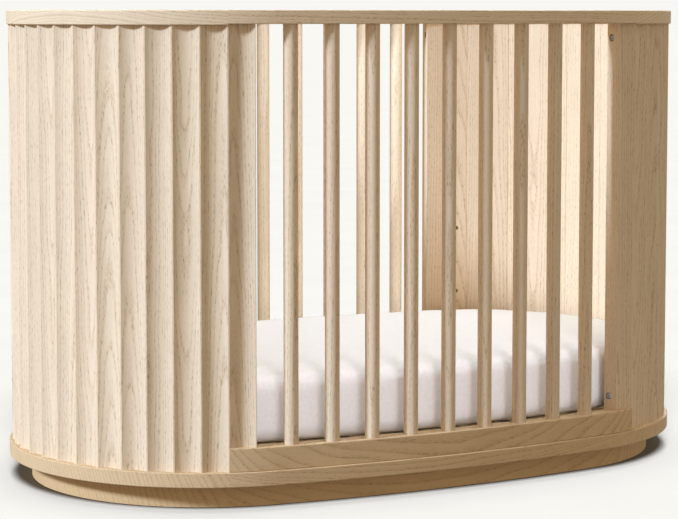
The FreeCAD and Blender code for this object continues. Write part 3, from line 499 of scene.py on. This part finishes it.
# cotton percale: a closely woven matt white cloth with a faint sheen where it turns away. Its plain weave has
# threads 0.35 mm apart, drawn 1.4 mm apart so that the bump shows, with 6 mm slubs
THREAD_PITCH = 0.0014
percale, tree, shader = new_material("cotton_percale")
place = add(tree, "TexCoord").outputs["Object"]
turns = add(tree, "VectorMath", {0: place, "Scale": 2 * math.pi / THREAD_PITCH}, operation="SCALE").outputs[0]
waves = add(tree, "VectorMath", {0: turns}, operation="SINE").outputs[0]
threads = add(tree, "SeparateXYZ", {0: waves}).outputs
weave = add(tree, "Math", {0: threads[0], 1: threads[1]}, operation="MULTIPLY").outputs[0]
weave = add(tree, "Math", {0: weave, 1: threads[2]}).outputs[0]
slub = add(tree, "TexNoise", {"Vector": place, "Scale": 160.0, "Detail": 4.0}).outputs[0]
tint = add(tree, "ValToRGB", {0: slub})
steps(tint.color_ramp, [(0.3, linear("#EDE9E7")), (0.7, linear("#F4F1EF"))])
tree.links.new(tint.outputs["Color"], shader.inputs["Base Color"])
height = add(tree, "Math", {0: slub, 1: 1.5, 2: weave}, operation="MULTIPLY_ADD").outputs[0]
bump = add(tree, "Bump", {"Strength": 0.12, "Distance": 0.0003, "Height": height})
tree.links.new(bump.outputs[0], shader.inputs["Normal"])
shader.inputs["Roughness"].default_value = 0.85
shader.inputs["Sheen Weight"].default_value = 0.15
shader.inputs["Sheen Roughness"].default_value = 0.4
sheet.data.materials.clear()
sheet.data.materials.append(percale)
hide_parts("mattress")
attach(sheet, "mattress")

# ---------------------------------------------------------------- floor
# A plain off-white studio floor in matt paint, wide enough for every view. It is lit by its own lights and
# throws none back, as the crib's lower pieces are dark from the front.
FLOOR_HALF = 150.0
corners = [(-FLOOR_HALF, -FLOOR_HALF, 0), (FLOOR_HALF, -FLOOR_HALF, 0), (FLOOR_HALF, FLOOR_HALF, 0),
           (-FLOOR_HALF, FLOOR_HALF, 0)]
floor_mesh = bpy.data.meshes.new("studio_floor")
floor_mesh.from_pydata(corners, [], [(0, 1, 2, 3)])
floor = bpy.data.objects.new("studio_floor", floor_mesh)
bpy.context.scene.collection.objects.link(floor)
paint, tree, shader = new_material("matt_white_floor_paint")
place = add(tree, "TexCoord").outputs["Object"]
mottle = add(tree, "TexNoise", {"Vector": place, "Scale": 3.0, "Detail": 3.0}).outputs[0]
shade = add(tree, "ValToRGB", {0: mottle})
steps(shade.color_ramp, [(0.3, linear("#7C7C7B")), (0.7, linear("#7E7E7D"))])
tree.links.new(shade.outputs["Color"], shader.inputs["Base Color"])
shader.inputs["Roughness"].default_value = 0.95
shader.inputs["Specular IOR Level"].default_value = 0.1
floor_mesh.materials.append(paint)
floor.visible_diffuse = False
floor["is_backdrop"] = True

# ---------------------------------------------------------------- light
# A soft key light from the left and a weaker one from behind light the wood, one from above the whole crib,
# and soft ones from the front the sheet and the rear row. The floor has its own two, so that in front only a
# narrow contact shadow shows round the plinth. The room's even light is warm, and weaker from below.


def sun(name, azimuth, elevation, strength, colour, softness, receivers):
    """A soft distant light on some pieces only, from a turn anticlockwise from +X and a height above the
    horizon, in degrees."""
    light = bpy.data.lights.new(name, "SUN")
    light.energy = strength
    light.color = colour
    light.angle = math.radians(softness)
    lamp = bpy.data.objects.new(name, light)
    lamp.rotation_euler = Euler((math.radians(90 - elevation), 0, math.radians(azimuth + 90)))
    bpy.context.scene.collection.objects.link(lamp)
    lit = bpy.data.collections.new(name + "_pieces")
    for piece in receivers:
        lit.objects.link(piece)
    lamp.light_linking.receiver_collection = lit


pieces = list(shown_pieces())
rear_row = [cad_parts[f"spindle_rear_{n + 1}"] for n in range(SPINDLES)]
wood = [piece for piece in pieces if piece != sheet]
sun("key_light", 182, 30, 4.85, (0.585, 0.745, 1.0), 8, wood)
sun("back_light", 50, 25, 1.6, (0.70, 0.83, 1.0), 8, wood)
sun("top_light", 0, 88, 1.0, (0.66, 0.88, 1.0), 16, pieces)
sun("sheet_light", 261, 35, 1.1, (0.90, 0.86, 0.95), 16, [sheet])
sun("sheet_fill", 250, 45, 1.4, (0.62, 0.78, 1.0), 100, [sheet])
sun("rear_row_light", 255, 20, 3.3, (0.60, 0.77, 1.0), 30, rear_row)
sun("floor_light", 242, 50, 12.6, (0.98, 0.99, 0.99), 20, [floor])
sun("floor_top_light", 0, 88, 3.0, (0.99, 1.0, 0.98), 16, [floor])

world = bpy.data.worlds.new("studio_room")
bpy.context.scene.world = world
world.use_nodes = True
tree = world.node_tree
tree.nodes.clear()
toward = add(tree, "SeparateXYZ", {0: add(tree, "TexCoord").outputs["Generated"]}).outputs["Z"]
strength = add(tree, "MapRange", {"Value": toward, "From Min": -0.15, "From Max": 0.15, "To Min": 0.27,
                                  "To Max": 0.62}).outputs[0]
fill = add(tree, "Background", {"Color": (1.0, 0.89, 0.74, 1.0), "Strength": strength})
seen = add(tree, "Background", {"Color": linear("#F8F7F3"), "Strength": 1.0})
straight = add(tree, "LightPath").outputs["Is Camera Ray"]
room = add(tree, "MixShader", {0: straight, 1: fill.outputs[0], 2: seen.outputs[0]}).outputs[0]
add(tree, "OutputWorld", {"Surface": room})
bpy.context.scene.view_settings.view_transform = "Standard"

# ---------------------------------------------------------------- camera
# At the height of the top rail, 4.7 m away, turned 28 degrees from the crib's front, with a long lens.
view = bpy.data.cameras.new("camera")
view.lens = 117.05
view.sensor_width = 36.0
view.shift_x = 0.0029
view.shift_y = -0.10
view.clip_end = 400.0
camera = bpy.data.objects.new("camera", view)
camera.location = (-2.2047, -4.1238, 0.9391)
camera.rotation_euler = Euler((math.radians(90 - 4.565), 0, math.radians(-27.82)))
bpy.context.scene.collection.objects.link(camera)
bpy.context.scene.camera = camera
